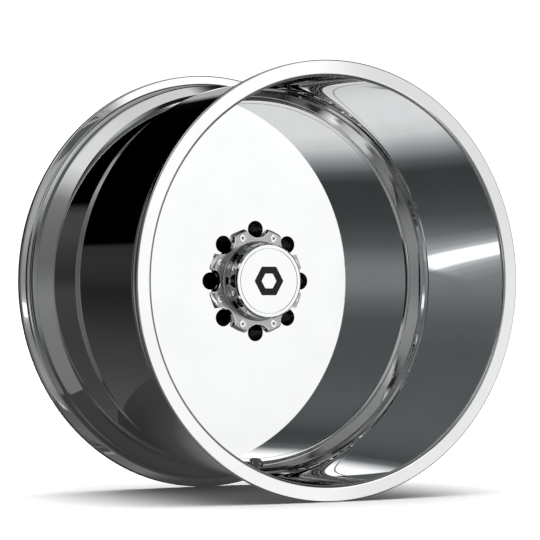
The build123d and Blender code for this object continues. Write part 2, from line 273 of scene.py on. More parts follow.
def fix_normals(ob, runs, turn=AXLE, shift=FRONT, crease=32.0):
    """Exact normals on turned faces, averaged facet normals on cut ones."""
    me = ob.data
    nv, npoly, nl = len(me.vertices), len(me.polygons), len(me.loops)
    co = np.zeros(nv * 3)
    me.vertices.foreach_get("co", co)
    co = co.reshape(-1, 3)
    fn = np.zeros(npoly * 3)
    me.polygons.foreach_get("normal", fn)
    fn = fn.reshape(-1, 3)
    fc = np.zeros(npoly * 3)
    me.polygons.foreach_get("center", fc)
    fc = fc.reshape(-1, 3)
    mi = np.zeros(npoly, np.int32)
    me.polygons.foreach_get("material_index", mi)
    lt = np.zeros(npoly, np.int32)
    me.polygons.foreach_get("loop_total", lt)
    lv = np.zeros(nl, np.int32)
    me.loops.foreach_get("vertex_index", lv)
    lp = np.repeat(np.arange(npoly), lt)

    o, a, u, v = (np.array(x) for x in (turn.o, turn.a, turn.u, turn.v))

    def rd(p):
        q = p - o
        h = q @ a
        x, y_ = q @ u, q @ v
        return np.hypot(x, y_) / MM, h / MM - shift, np.arctan2(y_, x)

    segs = []
    for run in runs:
        for k in range(len(run) - 1):
            segs.append((*run[k], *run[k + 1]))
    S = np.array(segs, float)
    A, NA_, B, NB = S[:, 0:2], S[:, 2:4], S[:, 4:6], S[:, 6:8]
    D = B - A
    L2 = np.maximum((D ** 2).sum(1), 1e-12)
    fr, fd, _ = rd(fc)
    turned = np.where(mi == 0)[0]
    best = np.zeros(npoly, np.int64)
    t_axis = fc - o
    ft = np.arctan2(t_axis @ v, t_axis @ u)
    rad = np.outer(np.cos(ft), u) + np.outer(np.sin(ft), v)
    fnr, fnh = (fn * rad).sum(1), fn @ a
    for s in range(0, len(turned), 20000):
        f = turned[s:s + 20000]
        P = np.stack([fr[f], fd[f]], 1)
        t = np.clip(((P[:, None] - A[None]) * D[None]).sum(2) / L2[None], 0, 1)
        dist = np.hypot(*np.moveaxis(P[:, None] - (A[None] + t[..., None] * D[None]), 2, 0))
        sn = (NA_ + NB)
        sn = sn / np.maximum(np.linalg.norm(sn, axis=1, keepdims=True), 1e-9)
        facing = fnr[f][:, None] * sn[None, :, 0] + fnh[f][:, None] * sn[None, :, 1]
        best[f] = np.argmin(dist + 2.0 * (1 - facing), axis=1)
    out = fn[lp].copy()
    tl = np.where(mi[lp] == 0)[0]
    P3 = co[lv[tl]]
    r_, d_, th = rd(P3)
    sidx = best[lp[tl]]
    P = np.stack([r_, d_], 1)
    t = np.clip(((P - A[sidx]) * D[sidx]).sum(1) / L2[sidx], 0, 1)
    N2 = NA_[sidx] * (1 - t)[:, None] + NB[sidx] * t[:, None]
    N2 /= np.maximum(np.linalg.norm(N2, axis=1, keepdims=True), 1e-9)
    near_axis = r_ < 0.01
    fth = ft[lp[tl]]
    th = np.where(near_axis, fth, th)
    out[tl] = (np.outer(np.cos(th), u) + np.outer(np.sin(th), v)) * N2[:, :1] + np.outer(N2[:, 1], a)
    # cut faces: average the distinct facet normals that meet at a point
    cosc = cos(radians(crease))
    cl = np.where(mi[lp] == 1)[0]
    around = {}
    for l in cl:
        around.setdefault(int(lv[l]), []).append(int(lp[l]))
    for l in cl:
        base = fn[lp[l]]
        acc, seen = base.copy(), [base]
        for f in around[int(lv[l])]:
            n2 = fn[f]
            if n2 @ base > cosc and all(abs(n2 @ s2) < 0.99999 for s2 in seen):
                acc += n2
                seen.append(n2)
        out[l] = acc / np.linalg.norm(acc)
    me.polygons.foreach_set("use_smooth", [True] * npoly)
    me.normals_split_custom_set([tuple(x) for x in out])
    me.update()
    return ob


# --------------------------------------------------------------------- barrel
barrel_rows = [
    (322.0, 0.0, 5.5), (315.5, 216.5, 1.5), (311.8, 219.0, 0.8), (309.6, 224.0, 1.2),
    (306.8, 225.6, 1.0), (303.6, 235.0, 2.0), (298.6, 250.0, 8.0), (292.5, 250.0, 0.0),
    (292.5, 258.0, 0.0), (297.0, 258.0, 0.0), (297.0, 274.0, 1.5), (306.0, 294.0, 6.0),
    (307.6, 362.0, 8.0), (322.5, 391.0, 8.0), (323.5, 427.5, 4.5), (348.0, 427.5, 2.4),
    (348.0, 417.5, 2.4), (330.2, 416.5, 6.5), (328.5, 394.5, 1.5), (330.0, 391.0, 1.5),
    (328.6, 387.0, 1.0), (315.0, 361.5, 3.0), (313.4, 283.0, 6.0),
    (322.6, 246.5, 1.2), (327.6, 57.0, 3.0), (330.2, 51.0, 1.4), (330.2, 47.5, 1.4),
    (328.3, 42.0, 2.0), (330.2, 11.0, 6.5), (348.0, 10.0, 2.4), (348.0, 0.0, 2.2)]
barrel, runs = lathe("barrel_shell", barrel_rows, SEG, step=4.0)


def stem_cylinder(name, r, h0, h1, k=96):
    o, u, v, n = STEM.o, STEM.u, STEM.v, STEM.a
    return prism(name, circle(0, 0, r, k), (o, u, v, n), h0, h1)


for r_, a_, b_ in ((10.4, 0.0, 32.0), (9.4, -52.0, -24.0), (5.75, -30.0, 5.0)):
    cut(barrel, stem_cylinder("c", r_, a_, b_))
fix_normals(barrel, runs)

# ---------------------------------------------------------------- centre disc
disc_rows = [
    (62.55, 256.5, 0.0), (64.0, 256.5, 0.0), (64.0, 250.5, 0.0), (64.5, 250.0, 0.0),
    (291.7, 250.0, 0.0), (292.4, 250.7, 0.0), (292.4, 258.0, 0.0), (296.9, 258.0, 0.0),
    (296.9, 266.0, 0.0), (176.0, 266.0, 40.0), (122.0, 284.0, 12.0), (108.0, 300.0, 10.0),
    (108.0, 314.75, 1.5), (64.05, 314.75, 0.0), (62.55, 313.25, 0.0)]
disc, runs = lathe("centre_disc_body", disc_rows, SEG, step=4.0)
fp = front_plane(250.0)
LUG_R, POCKET, STUD = 85.0, 14.25, 7.75
SEAT = (POCKET - STUD) / tan(radians(30))


def hole_cutters(name, centres, rows, k=72, depth0=250.0, sign=1):
    """Turned cutters on axes parallel to the axle: rows are (radius, depth)."""
    out = []
    for x, z in centres:
        verts, faces = [], []
        for r, d in rows:
            for i in range(k):
                verts.append(((x + r * cos(2 * pi * i / k)) * MM, yd(d) * MM, (z + r * sin(2 * pi * i / k)) * MM))
        for s in range(len(rows) - 1):
            for i in range(k):
                faces.append([s * k + i, s * k + (i + 1) % k, (s + 1) * k + (i + 1) % k, (s + 1) * k + i])
        faces.append(list(range(k)))
        faces.append([(len(rows) - 1) * k + i for i in range(k)])
        me = bpy.data.meshes.new(name)
        me.from_pydata(verts, [], faces)
        bm = bmesh.new()
        bm.from_mesh(me)
        bmesh.ops.recalc_face_normals(bm, faces=bm.faces)
        bm.to_mesh(me)
        bm.free()
        ob = bpy.data.objects.new(name, me)
        bpy.context.scene.collection.objects.link(ob)
        out.append(ob)
    return join(out, name)


cut(disc, hole_cutters("lugs", polar(LUG_R, 8), [
    (POCKET + 1.1, 249.0), (POCKET + 0.6, 250.0), (POCKET, 250.6), (POCKET, 289.5),
    (STUD, 289.5 + SEAT), (STUD, 314.15), (STUD + 0.6, 314.75), (STUD + 1.1, 315.5)]))
cut(disc, hole_cutters("relief", polar(LUG_R + 1, 8, 22.5), [
    (12.0, 286.75), (12.0, 314.0), (12.8, 314.8), (13.2, 316.0)], 64))
cut(disc, hole_cutters("taps", polar(76.0, 8, 22.5), [(4.05, 249.0), (4.05, 270.0)], 32))


def sector(r0, r1, half, f, k=10):
    """Outline of a ring sector with rounded corners."""
    rows = []
    n_arc = 24
    for i in range(n_arc + 1):
        t = radians(-half + 2 * half * i / n_arc)
        rows.append((r1 * cos(t), r1 * sin(t)))
    for i in range(n_arc + 1):
        t = radians(half - 2 * half * i / n_arc)
        rows.append((r0 * cos(t), r0 * sin(t)))
    # round the four corners by replacing nearby points with arcs
    def corner_arc(r, t, inner, upper):
        ct, st = cos(t), sin(t)
        sgn = -1 if upper else 1
        # distance from the side line is f, from the arc is f
        rc = r + f if inner else r - f
        ang = abs(t) - np.arcsin(f / rc)
        c = Vector((rc * cos(ang), (1 if upper else -1) * rc * sin(ang)))
        p_arc = c.normalized() * r
        side = Vector((ct, st))
        p_side = side * sqrt(rc * rc - f * f)
        s, e = p_arc - c, p_side - c
        a0 = atan2(s.y, s.x)
        sw = s.angle(e)
        sg = 1 if s.x * e.y - s.y * e.x > 0 else -1
        return [tuple(c + Vector((cos(a0 + sg * sw * j / k), sin(a0 + sg * sw * j / k))) * f) for j in range(k + 1)]
    th = radians(half)
    out = []
    ca = corner_arc(r1, -th, False, False)      # outer, lower: arc end first
    out += ca[::-1]
    a_in = abs(atan2(ca[0][1], ca[0][0]))
    out += [(r1 * cos(t), r1 * sin(t)) for t in np.linspace(-a_in, a_in, 26)[1:-1]]
    cb = corner_arc(r1, th, False, True)
    out += cb
    cc = corner_arc(r0, th, True, True)
    out += cc[::-1]
    b_in = abs(atan2(cc[0][1], cc[0][0]))
    out += [(r0 * cos(t), r0 * sin(t)) for t in np.linspace(b_in, -b_in, 26)[1:-1]]
    cd = corner_arc(r0, -th, True, False)
    out += cd
    return out


pocket = sector(184.0, 276.0, 18.6, 14.0)
parts = []
for i in range(8):
    t = 2 * pi * i / 8
    rot = [(x * cos(t) - y_ * sin(t), x * sin(t) + y_ * cos(t)) for x, y_ in pocket]
    parts.append(prism("wp", rot, ((0, yd(266.0) * MM, 0), (1, 0, 0), (0, 0, 1), (0, 1, 0)), -6.0, 2.0))
cut(disc, join(parts, "web_pockets"))
fix_normals(disc, runs)


# ----------------------------------------------------------------- weld bead
def bead(r, h, t):
    # stacked ripples: the outer skin of the bead rises and falls 3 times per degree
    out = max(0.0, 1.0 - abs((297.0 - r) - (h - 266.0)) / 7.0)
    return -0.28 * out * abs(sin(t * 190)) if 291.2 < r < 296.6 and h > 266.6 else 0.0


weld_rows = [(290.5, 266.0), (297.0, 266.0), (297.0, 272.5)]
arc = []
for i in range(9):
    t = i / 8
    a_ = Vector((297.0, 272.5)).lerp(Vector((290.5, 266.0)), t)
    b_ = 1.35 * sin(pi * t)
    arc.append((a_.x - b_ * 0.7071 * -1 * 0 - b_ * 0.7071, a_.y + b_ * 0.7071))
weld_rows = [(290.5, 266.0, 0.0), (297.0, 266.0, 0.0)] + [(p[0], p[1], 0.0) for p in arc[:-1]]
weld, _ = lathe("centre_weld_bead", weld_rows, 1140, wave=bead)
weld.data.shade_smooth()

# ------------------------------------------------------------------ cap base
base_rows = [
    (30.0, 226.0, 0.5), (53.0, 226.0, 0.0), (53.0, 228.0, 0.0), (56.0, 228.0, 0.0),
    (56.0, 226.0, 0.0), (60.6, 226.0, 0.5), (64.8, 241.0, 2.0), (84.2, 241.0, 0.8),
    (88.0, 248.4, 0.6), (88.0, 250.0, 0.0), (63.85, 250.0, 0.0), (63.85, 256.0, 0.8),
    (52.0, 256.0, 0.5), (52.0, 231.0, 1.0), (30.0, 231.0, 0.5)]
base, runs = lathe("cap_base_ring", base_rows, 400, step=6.0)
CS = polar(76.0, 8, 22.5)
cut(base, hole_cutters("scallops", polar(95.0, 8), [
    (24.7, 240.0), (24.6, 240.9), (24.0, 241.6), (24.0, 252.0)], 160))
cut(base, hole_cutters("recess", CS, [
    (7.4, 240.4), (7.15, 240.95), (6.8, 241.35), (6.8, 246.2)], 48))
cut(base, hole_cutters("clear", CS, [(4.4, 245.0), (4.4, 252.0)], 32))
cut(base, hole_cutters("puck_clear", polar(42.0, 6, 30), [(2.9, 225.0), (2.9, 232.5)], 24))
fix_normals(base, runs)

# ------------------------------------------------------- screws with a socket
def socket_screw(name, centre, depth_seat, head_r, head_h, shank_r, shank_l, af, sock, face=-1, spin=0.0, k=48):
    """Turned socket-head screw. face -1: the head looks outboard, +1 inboard."""
    def P(r, t, h):
        return ((centre[0] + r * cos(t)) * MM, (yd(depth_seat) + face * h) * MM, (centre[1] + r * sin(t)) * MM)
    hexr = af / 2 / cos(pi / 6)

    def hex_r(t, grow=0.0):
        s = (t - spin) % (pi / 3) - pi / 6
        return (af / 2 + grow) / cos(s)
    rings = []
    # bottom of the shank, up the outside, over the head, down the socket
    rings.append(("c", 0.0, -shank_l))
    rings.append(("r", shank_r - 0.7, -shank_l))
    rings.append(("r", shank_r, -shank_l + 0.7))
    rings.append(("r", shank_r, 0.0))
    rings.append(("r", head_r - 0.25, 0.0))
    rings.append(("r", head_r, 0.25))
    rings.append(("r", head_r, head_h - 0.75))
    for q in range(1, 6):
        t = q / 5 * pi / 2
        rings.append(("r", head_r - 0.75 * (1 - cos(t)), head_h - 0.75 + 0.75 * sin(t)))
    rings.append(("r", hexr + 0.55, head_h))
    rings.append(("h", 0.22, head_h))
    rings.append(("h", 0.0, head_h - 0.25))
    rings.append(("h", 0.0, head_h - sock))
    rings.append(("r", af / 2 * 0.55, head_h - sock - 0.25))
    rings.append(("c", 0.0, head_h - sock - af * 0.2))
    verts, faces, row_ids = [], [], []
    for kind, r, h in rings:
        if kind == "c":
            row_ids.append([len(verts)])
            verts.append(P(0, 0, h))
        else:
            ids = []
            for j in range(k):
                t = 2 * pi * j / k + spin
                ids.append(len(verts))
                verts.append(P(hex_r(t, r) if kind == "h" else r, t, h))
            row_ids.append(ids)
    for a_, b_ in zip(row_ids, row_ids[1:]):
        for j in range(k):
            a0, a1 = a_[j % len(a_)], a_[(j + 1) % len(a_)]
            b0, b1 = b_[j % len(b_)], b_[(j + 1) % len(b_)]
            f = []
            for i_ in (a0, b0, b1, a1):
                if i_ not in f:
                    f.append(i_)
            if len(f) > 2:
                faces.append(f)
    me = bpy.data.meshes.new(name)
    me.from_pydata(verts, [], faces)
    bm = bmesh.new()
    bm.from_mesh(me)
    bmesh.ops.recalc_face_normals(bm, faces=bm.faces)
    bm.to_mesh(me)
    bm.free()
    ob = bpy.data.objects.new(name, me)
    bpy.context.scene.collection.objects.link(ob)
    return ob


def smooth_by_angle(ob, deg=32.0):
    me = ob.data
    me.polygons.foreach_set("use_smooth", [True] * len(me.polygons))
    me.set_sharp_from_angle(angle=radians(deg))
    return ob


spins = [0.13, 0.81, 0.42, 0.97, 0.27, 0.66, 0.05, 0.55]
screws = smooth_by_angle(join([socket_screw("s", c, 246.2, 6.5, 5.0, 4.0, 20.0, 5.0, 3.0, -1, s * pi / 3)
                               for c, s in zip(CS, spins)], "cap_screw_set"))
pscrews = smooth_by_angle(join([socket_screw("s", c, 231.0, 4.25, 5.0, 2.5, 14.0, 4.0, 2.5, 1, s * pi / 3)
                                for c, s in zip(polar(42.0, 6, 30), spins)], "puck_screw_set"))

# ------------------------------------------------------------------ cap puck
puck_rows = [
    (0.0, 208.0, 0.0), (53.55, 208.0, 0.0), (53.55, 205.0, 0.3), (59.0, 205.0, 1.2),
    (61.6, 207.6, 1.2), (62.0, 224.4, 0.8), (60.6, 226.0, 0.0), (34.0, 226.0, 0.0),
    (34.0, 217.0, 3.0), (0.0, 217.0, 0.0)]
puck, runs = lathe("cap_puck_head", puck_rows, 400, step=6.0)
cut(puck, hole_cutters("ptap", polar(42.0, 6, 30), [(2.55, 215.0), (2.55, 227.0)], 24))
fix_normals(puck, runs)

# --------------------------------------------------------- emblem plate, mark
plate_rows = [(0.0, 205.15, 0.0), (52.8, 205.15, 0.25), (53.3, 205.65, 0.25), (53.3, 208.0, 0.0), (0.0, 208.0, 0.0)]
plate, runs = lathe("emblem_plate_disc", plate_rows, 400, step=10.0)


def hexagon(R, f, k=8):
    pts = []
    for i in range(6):
        t = pi / 3 * i
        d = f / cos(pi / 6)
        c = ((R - d) * cos(t), (R - d) * sin(t))
        for j in range(k + 1):
            s = t - pi / 6 + (pi / 3) * j / k
            pts.append((c[0] + f * cos(s), c[1] + f * sin(s)))
    return pts


def ring_prism(name, outer, r_in, depth0, depth1, bevel=0.0, k_per=1):
    """Ring between an outline and a round hole; the outboard edge is bevelled."""
    m = len(outer)
    ang = [atan2(p[1], p[0]) for p in outer]
    inner = [(r_in * cos(t), r_in * sin(t)) for t in ang]

    def off(p, b, sgn):
        l = hypot(*p)
        return (p[0] * (l + sgn * b) / l, p[1] * (l + sgn * b) / l)
    rows = [(depth1, outer, inner)]
    if bevel:
        rows.append((depth0 + bevel, outer, inner))
        rows.append((depth0, [off(p, bevel, -1) for p in outer], [off(p, bevel, 1) for p in inner]))
    else:
        rows.append((depth0, outer, inner))
    verts, idx = [], []
    for d, po, pi_ in rows:
        idx.append((list(range(len(verts), len(verts) + m)), list(range(len(verts) + m, len(verts) + 2 * m))))
        verts += [(x * MM, yd(d) * MM, z * MM) for x, z in po] + [(x * MM, yd(d) * MM, z * MM) for x, z in pi_]
    faces = []
    for (o1, i1), (o2, i2) in zip(idx, idx[1:]):
        for j in range(m):
            n = (j + 1) % m
            faces.append([o1[j], o1[n], o2[n], o2[j]])
            faces.append([i1[n], i1[j], i2[j], i2[n]])
    for j in range(m):
        n = (j + 1) % m
        faces.append([idx[0][0][n], idx[0][0][j], idx[0][1][j], idx[0][1][n]])
        faces.append([idx[-1][0][j], idx[-1][0][n], idx[-1][1][n], idx[-1][1][j]])
    me = bpy.data.meshes.new(name)
    me.from_pydata(verts, [], faces)
    bm = bmesh.new()
    bm.from_mesh(me)
    bmesh.ops.recalc_face_normals(bm, faces=bm.faces)
    bm.to_mesh(me)
    bm.free()
    ob = bpy.data.objects.new(name, me)
    bpy.context.scene.collection.objects.link(ob)
    return ob


cut(plate, ring_prism("bed", hexagon(27.08, 3.0), 13.42, 204.5, 205.95))
fix_normals(plate, runs)
mark = smooth_by_angle(ring_prism("emblem_mark_hexagon", hexagon(27.0, 3.0), 13.5, 205.05, 205.95, bevel=0.18))

# ---------------------------------------------------------------------- valve
def stem_part(name, rows, k=96, step=8.0):
    ob, runs_ = lathe(name, rows, k, turn=STEM, shift=0.0, step=step)
    return ob, runs_


vbody, _ = stem_part("valve_stem", [
    (1.6, -29.5, 0.0), (8.5, -29.5, 0.4), (8.5, -27.0, 0.2), (4.75, -27.0, 0.0), (4.75, 7.7, 0.0), (3.85, 8.2, 0.0),
    (3.85, 11.2, 0.0), (3.55, 11.5, 0.0), (2.65, 11.5, 0.0), (2.65, -6.0, 0.0), (1.6, -6.6, 0.0)])
vwash, _ = stem_part("valve_washer_ring", [(4.85, 0.0, 0.0), (9.6, 0.0, 0.0), (9.6, 1.5, 0.45), (4.85, 1.5, 0.0)])
vgrom, _ = stem_part("valve_grommet_ring", [
    (4.8, -27.0, 0.0), (8.6, -27.0, 0.5), (8.6, -24.0, 0.4), (5.7, -24.0, 0.0), (5.7, -15.0, 0.0), (4.8, -15.0, 0.0)])
# hexagon nut: a turned blank with six flats
vnut, runs = stem_part("valve_hex_nut", [
    (4.8, 1.9, 0.0), (5.2, 1.5, 0.0), (8.9, 1.5, 0.0), (9.81, 2.0, 0.0), (9.81, 6.75, 0.0), (8.5, 7.5, 0.3), (5.3, 7.5, 0.0), (4.8, 7.0, 0.0)], k=120)
o_, u_, v_, n_ = STEM.o, STEM.u, STEM.v, STEM.a
slabs = []
for i in range(6):
    t = pi / 3 * i + pi / 6
    e1 = u_ * cos(t) + v_ * sin(t)
    e2 = u_ * -sin(t) + v_ * cos(t)
    slabs.append(prism("slab", [(8.5, -9), (14, -9), (14, 9), (8.5, 9)], (o_, e1, e2, n_), 0.5, 9.0))
for s_ in slabs:
    cut(vnut, s_)
fix_normals(vnut, runs, turn=STEM, shift=0.0, crease=10.0)

# fluted valve cap
vcap, runs = stem_part("valve_cap_fluted", [
    (3.9, 8.4, 0.0), (4.9, 8.4, 0.15), (4.9, 14.2, 0.3), (4.1, 15.2, 0.3), (0.0, 15.2, 0.0), (0.0, 12.4, 0.0),
    (3.9, 12.4, 0.0)], k=144)
flutes = []
for x, z in polar(5.15, 12):
    flutes.append(prism("flute", circle(x, z, 0.55, 20), (o_, u_, v_, n_), 9.2, 13.4))
cut(vcap, join(flutes, "flutes"))
fix_normals(vcap, runs, turn=STEM, shift=0.0)

# ==================================================================== looks
def srgb(v):
    """A display value from 0 to 255 as linear light."""
    v = v / 255.0
    return v / 12.92 if v <= 0.04045 else ((v + 0.055) / 1.055) ** 2.4


class Nodes:
    """Short hand for one node tree."""

    def __init__(self, tree):
        self.t = tree
        tree.nodes.clear()

    def add(self, kind, **props):
        n = self.t.nodes.new(kind)
        for k, v in props.items():
            setattr(n, k, v)
        return n

    def put(self, socket, value):
        if isinstance(value, bpy.types.NodeSocket):
            self.t.links.new(value, socket)
        elif value is not None:
            socket.default_value = value

    def math(self, op, a, b=None, c=None):
        n = self.add("ShaderNodeMath", operation=op)
        for s, v in zip(n.inputs, (a, b, c)):
            self.put(s, v)
        return n.outputs[0]

    def vmath(self, op, a, b=None):
        n = self.add("ShaderNodeVectorMath", operation=op)
        self.put(n.inputs[0], a)
        self.put(n.inputs[1], b)
        return n.outputs[0]

    def noise(self, vector, scale, detail=3.0, rough=0.5):
        n = self.add("ShaderNodeTexNoise")
        self.put(n.inputs["Vector"], vector)
        n.inputs["Scale"].default_value = scale
        n.inputs["Detail"].default_value = detail
        n.inputs["Roughness"].default_value = rough
        return n.outputs["Fac"]

    def span(self, value, lo, hi, a, b, smooth=False):
        n = self.add("ShaderNodeMapRange", clamp=True)
        if smooth:
            n.interpolation_type = "SMOOTHSTEP"
        for s, v in zip(n.inputs, (value, lo, hi, a, b)):
            self.put(s, v)
        return n.outputs[0]

    def ramp(self, fac, stops, mode="LINEAR"):
        n = self.add("ShaderNodeValToRGB")
        self.put(n.inputs[0], fac)
        e = n.color_ramp.elements
        n.color_ramp.interpolation = mode
        while len(e) > 1:
            e.remove(e[-1])
        for i, (pos, col) in enumerate(stops):
            if i == 0:
                e[0].position = pos
                el = e[0]
            else:
                el = e.new(pos)
            el.color = (*col, 1.0) if len(col) == 3 else col
        return n.outputs["Color"]

    def mix(self, fac, a, b):
        n = self.add("ShaderNodeMix", data_type="RGBA", clamp_factor=True)
        self.put(n.inputs[0], fac)
        self.put(n.inputs[6], a)
        self.put(n.inputs[7], b)
        return n.outputs[2]

    def bump(self, height, distance, normal=None, strength=1.0):
        n = self.add("ShaderNodeBump")
        n.inputs["Strength"].default_value = strength
        n.inputs["Distance"].default_value = distance
        self.put(n.inputs["Height"], height)
        self.put(n.inputs["Normal"], normal)
        return n.outputs["Normal"]


def new_material(name):
    m = bpy.data.materials.new(name)
    m.use_nodes = True
    n = Nodes(m.node_tree)
    out = n.add("ShaderNodeOutputMaterial")
    b = n.add("ShaderNodeBsdfPrincipled")
    n.t.links.new(b.outputs[0], out.inputs["Surface"])
    here = n.add("ShaderNodeTexCoord").outputs["Object"]
    return m, n, b, here


def around(n, here, line=STEM, stem=False):
    """(radius, height, distance round) of a turned part, in metres, about the axle or the stem."""
    if stem:
        p = n.vmath("SUBTRACT", here, tuple(STEM.o))
        dots = []
        for e in (STEM.u, STEM.v, STEM.a):
            d = n.add("ShaderNodeVectorMath", operation="DOT_PRODUCT")
            n.put(d.inputs[0], p)
            d.inputs[1].default_value = tuple(e)
            dots.append(d.outputs["Value"])
        x, z, y = dots
    else:
        s = n.add("ShaderNodeSeparateXYZ")
        n.put(s.inputs[0], here)
        x, y, z = s.outputs
    r = n.math("SQRT", n.math("ADD", n.math("MULTIPLY", x, x), n.math("MULTIPLY", z, z)))
    return r, y, n.math("ARCTAN2", z, x)


def turned(n, here, pitch, stem=False):
    """0..1 value that changes along the profile only: the marks a lathe tool leaves."""
    r, h, t = around(n, here, stem=stem)
    c = n.add("ShaderNodeCombineXYZ")
    n.put(c.inputs[0], r)
    n.put(c.inputs[1], h)
    n.put(c.inputs[2], n.math("MULTIPLY", t, 0.0004))
    return n.noise(c.outputs[0], 1.0 / pitch, 2.0, 0.55)


def metal(name, tint, rough, spread=0.3, marks=0.0, pitch=0.0006, wave=0.0, wave_scale=7.0, grain=0.0,
          grain_scale=900.0, stem=False, smudge=0.0, aniso=0.0):
    """Metal with turning marks, slow waviness, fine grain and handling marks."""
    m, n, b, here = new_material(name)
    b.inputs["Metallic"].default_value = 1.0
    tone = n.noise(here, 11.0, 4.0, 0.6)
    dark = tuple(c * 0.955 for c in tint)
    n.put(b.inputs["Base Color"], n.mix(n.span(tone, 0.3, 0.7, 0.0, 1.0), (*dark, 1), (*tint, 1)))
    blot = n.noise(here, 38.0, 5.0, 0.62)
    r = n.span(blot, 0.32, 0.72, rough * (1 - spread), rough * (1 + spread))
    if smudge:
        patch = n.span(n.noise(here, 6.5, 6.0, 0.7), 0.56, 0.74, 0.0, smudge, smooth=True)
        r = n.math("ADD", r, patch)
    normal = None
    if wave:
        normal = n.bump(n.noise(here, wave_scale, 1.0, 0.4), wave)
    if marks:
        tm = turned(n, here, pitch, stem)
        normal = n.bump(tm, marks, normal)
        r = n.math("ADD", r, n.span(tm, 0.25, 0.75, 0.0, rough * 0.5))
    if grain:
        normal = n.bump(n.noise(here, grain_scale, 3.0, 0.6), grain, normal)
    n.put(b.inputs["Roughness"], r)
    n.put(b.inputs["Normal"], normal)
    if aniso:
        b.inputs["Anisotropic"].default_value = aniso
        tan_ = n.add("ShaderNodeTangent", direction_type="RADIAL", axis="Y")
        n.put(b.inputs["Tangent"], tan_.outputs[0])
    return m


def coat(name, low, high, rough, bump=0.0, scale=120.0, specular=0.5, clear=0.0):
    """Rubber, plastic or paint: two close tones mixed by noise, with a fine texture."""
    m, n, b, here = new_material(name)
    f = n.noise(here, scale * 0.25, 4.0, 0.6)
    n.put(b.inputs["Base Color"], n.mix(n.span(f, 0.3, 0.7, 0.0, 1.0), (*low, 1), (*high, 1)))
    n.put(b.inputs["Roughness"], n.span(n.noise(here, scale * 0.6, 3.0), 0.3, 0.7, rough * 0.85, min(1.0, rough * 1.15)))
    b.inputs["Specular IOR Level"].default_value = specular
    b.inputs["Coat Weight"].default_value = clear
    b.inputs["Coat Roughness"].default_value = 0.08
    if bump:
        n.put(b.inputs["Normal"], n.bump(n.noise(here, scale * 4.0, 4.0, 0.65), bump))
    return m


ALLOY = (0.905, 0.912, 0.918)
polished = metal("polished_alloy_mirror", ALLOY, 0.010, 0.5, marks=0.0000008, pitch=0.0011, wave=0.00010,
                 wave_scale=5.0)
polished_out = metal("polished_alloy_outer", ALLOY, 0.022, 0.4, marks=0.0000030, pitch=0.0014, wave=0.0004,
                     wave_scale=5.5)
turned_back = metal("turned_alloy_inner", (0.80, 0.81, 0.82), 0.24, 0.2, marks=0.000012, pitch=0.0007, aniso=0.35)
machined = metal("machined_alloy", (0.82, 0.83, 0.84), 0.13, 0.3, marks=0.000006, pitch=0.0005, grain=0.000004)
satin = metal("satin_alloy_cover", (0.50, 0.505, 0.51), 0.17, 0.25, marks=0.000006, pitch=0.0005, grain=0.000004,
              smudge=0.03)
weld_metal = metal("weld_alloy_bead", (0.60, 0.605, 0.61), 0.34, 0.3, grain=0.00006, grain_scale=420.0)
bright = metal("bright_steel_screws", (0.93, 0.93, 0.925), 0.07, 0.35, grain=0.000003, grain_scale=1500.0)
zinc = metal("zinc_steel_plating", (0.66, 0.68, 0.72), 0.24, 0.3, grain=0.000008, grain_scale=1100.0)
# valve plating: bright nickel with its tint darkened as painted shade, standing in for the dark surroundings the plated
# valve mirrors
nickel_painted_shade = metal("nickel_plate_painted_shade", (0.50, 0.505, 0.51), 0.03, 0.35, marks=0.000002, pitch=0.0003, stem=True)
brass = metal("bare_brass_core", (0.80, 0.62, 0.30), 0.22, 0.3, marks=0.000006, pitch=0.0002, stem=True)
enamel = coat("dark_enamel_mark", (0.012, 0.013, 0.015), (0.022, 0.024, 0.027), 0.34, bump=0.00001, scale=900.0,
              clear=0.0, specular=0.22)
rubber = coat("black_rubber_seal", (0.012, 0.012, 0.012), (0.026, 0.026, 0.025), 0.62, bump=0.00004, scale=700.0,
              specular=0.35)
ptfe = coat("white_ptfe_sleeve", (0.72, 0.72, 0.70), (0.82, 0.82, 0.80), 0.38, bump=0.00002, scale=600.0)


def dress(ob, mats, pick=None):
    """Give a piece its materials. pick(mask arrays) may send turned faces to a further slot."""
    me = ob.data
    idx = np.zeros(len(me.polygons), np.int32)
    me.polygons.foreach_get("material_index", idx)
    me.materials.clear()
    for m in mats:
        me.materials.append(m)
    if pick:
        c = np.zeros(len(me.polygons) * 3)
        me.polygons.foreach_get("center", c)
        nr = np.zeros(len(me.polygons) * 3)
        me.polygons.foreach_get("normal", nr)
        c, nr = c.reshape(-1, 3), nr.reshape(-1, 3)
        rad = np.hypot(c[:, 0], c[:, 2]) / MM
        out = (nr[:, 0] * c[:, 0] + nr[:, 2] * c[:, 2]) / np.maximum(np.hypot(c[:, 0], c[:, 2]), 1e-6)
        idx = pick(idx, rad, c[:, 1] / MM - FRONT, out, nr[:, 1])
    me.polygons.foreach_set("material_index", np.minimum(idx, len(mats) - 1).astype(np.int32))
    me.update()


def barrel_faces(idx, rad, depth, out, ny):
    idx = idx.copy()
    outer = (idx == 0) & (depth > 0.5) & (depth < 427.0) & (rad > 308.5) & ((out > 0.0) | (rad > 324.0))
    idx[outer] = 2
    idx[(idx == 0) & (depth > 250.5) & (rad < 324.0) & (out < 0.2)] = 3
    return idx


def disc_faces(idx, rad, depth, out, ny):
    idx = idx.copy()
    idx[(idx == 0) & (depth > 250.6)] = 2
    return idx


dress(barrel, [polished, machined, polished_out, turned_back], barrel_faces)
dress(disc, [polished, polished, turned_back], disc_faces)
dress(weld, [weld_metal])
def base_faces(idx, rad, depth, out, ny):
    idx = idx.copy()
    idx[(idx == 0) & (np.abs(ny) < 0.90)] = 2
    return idx


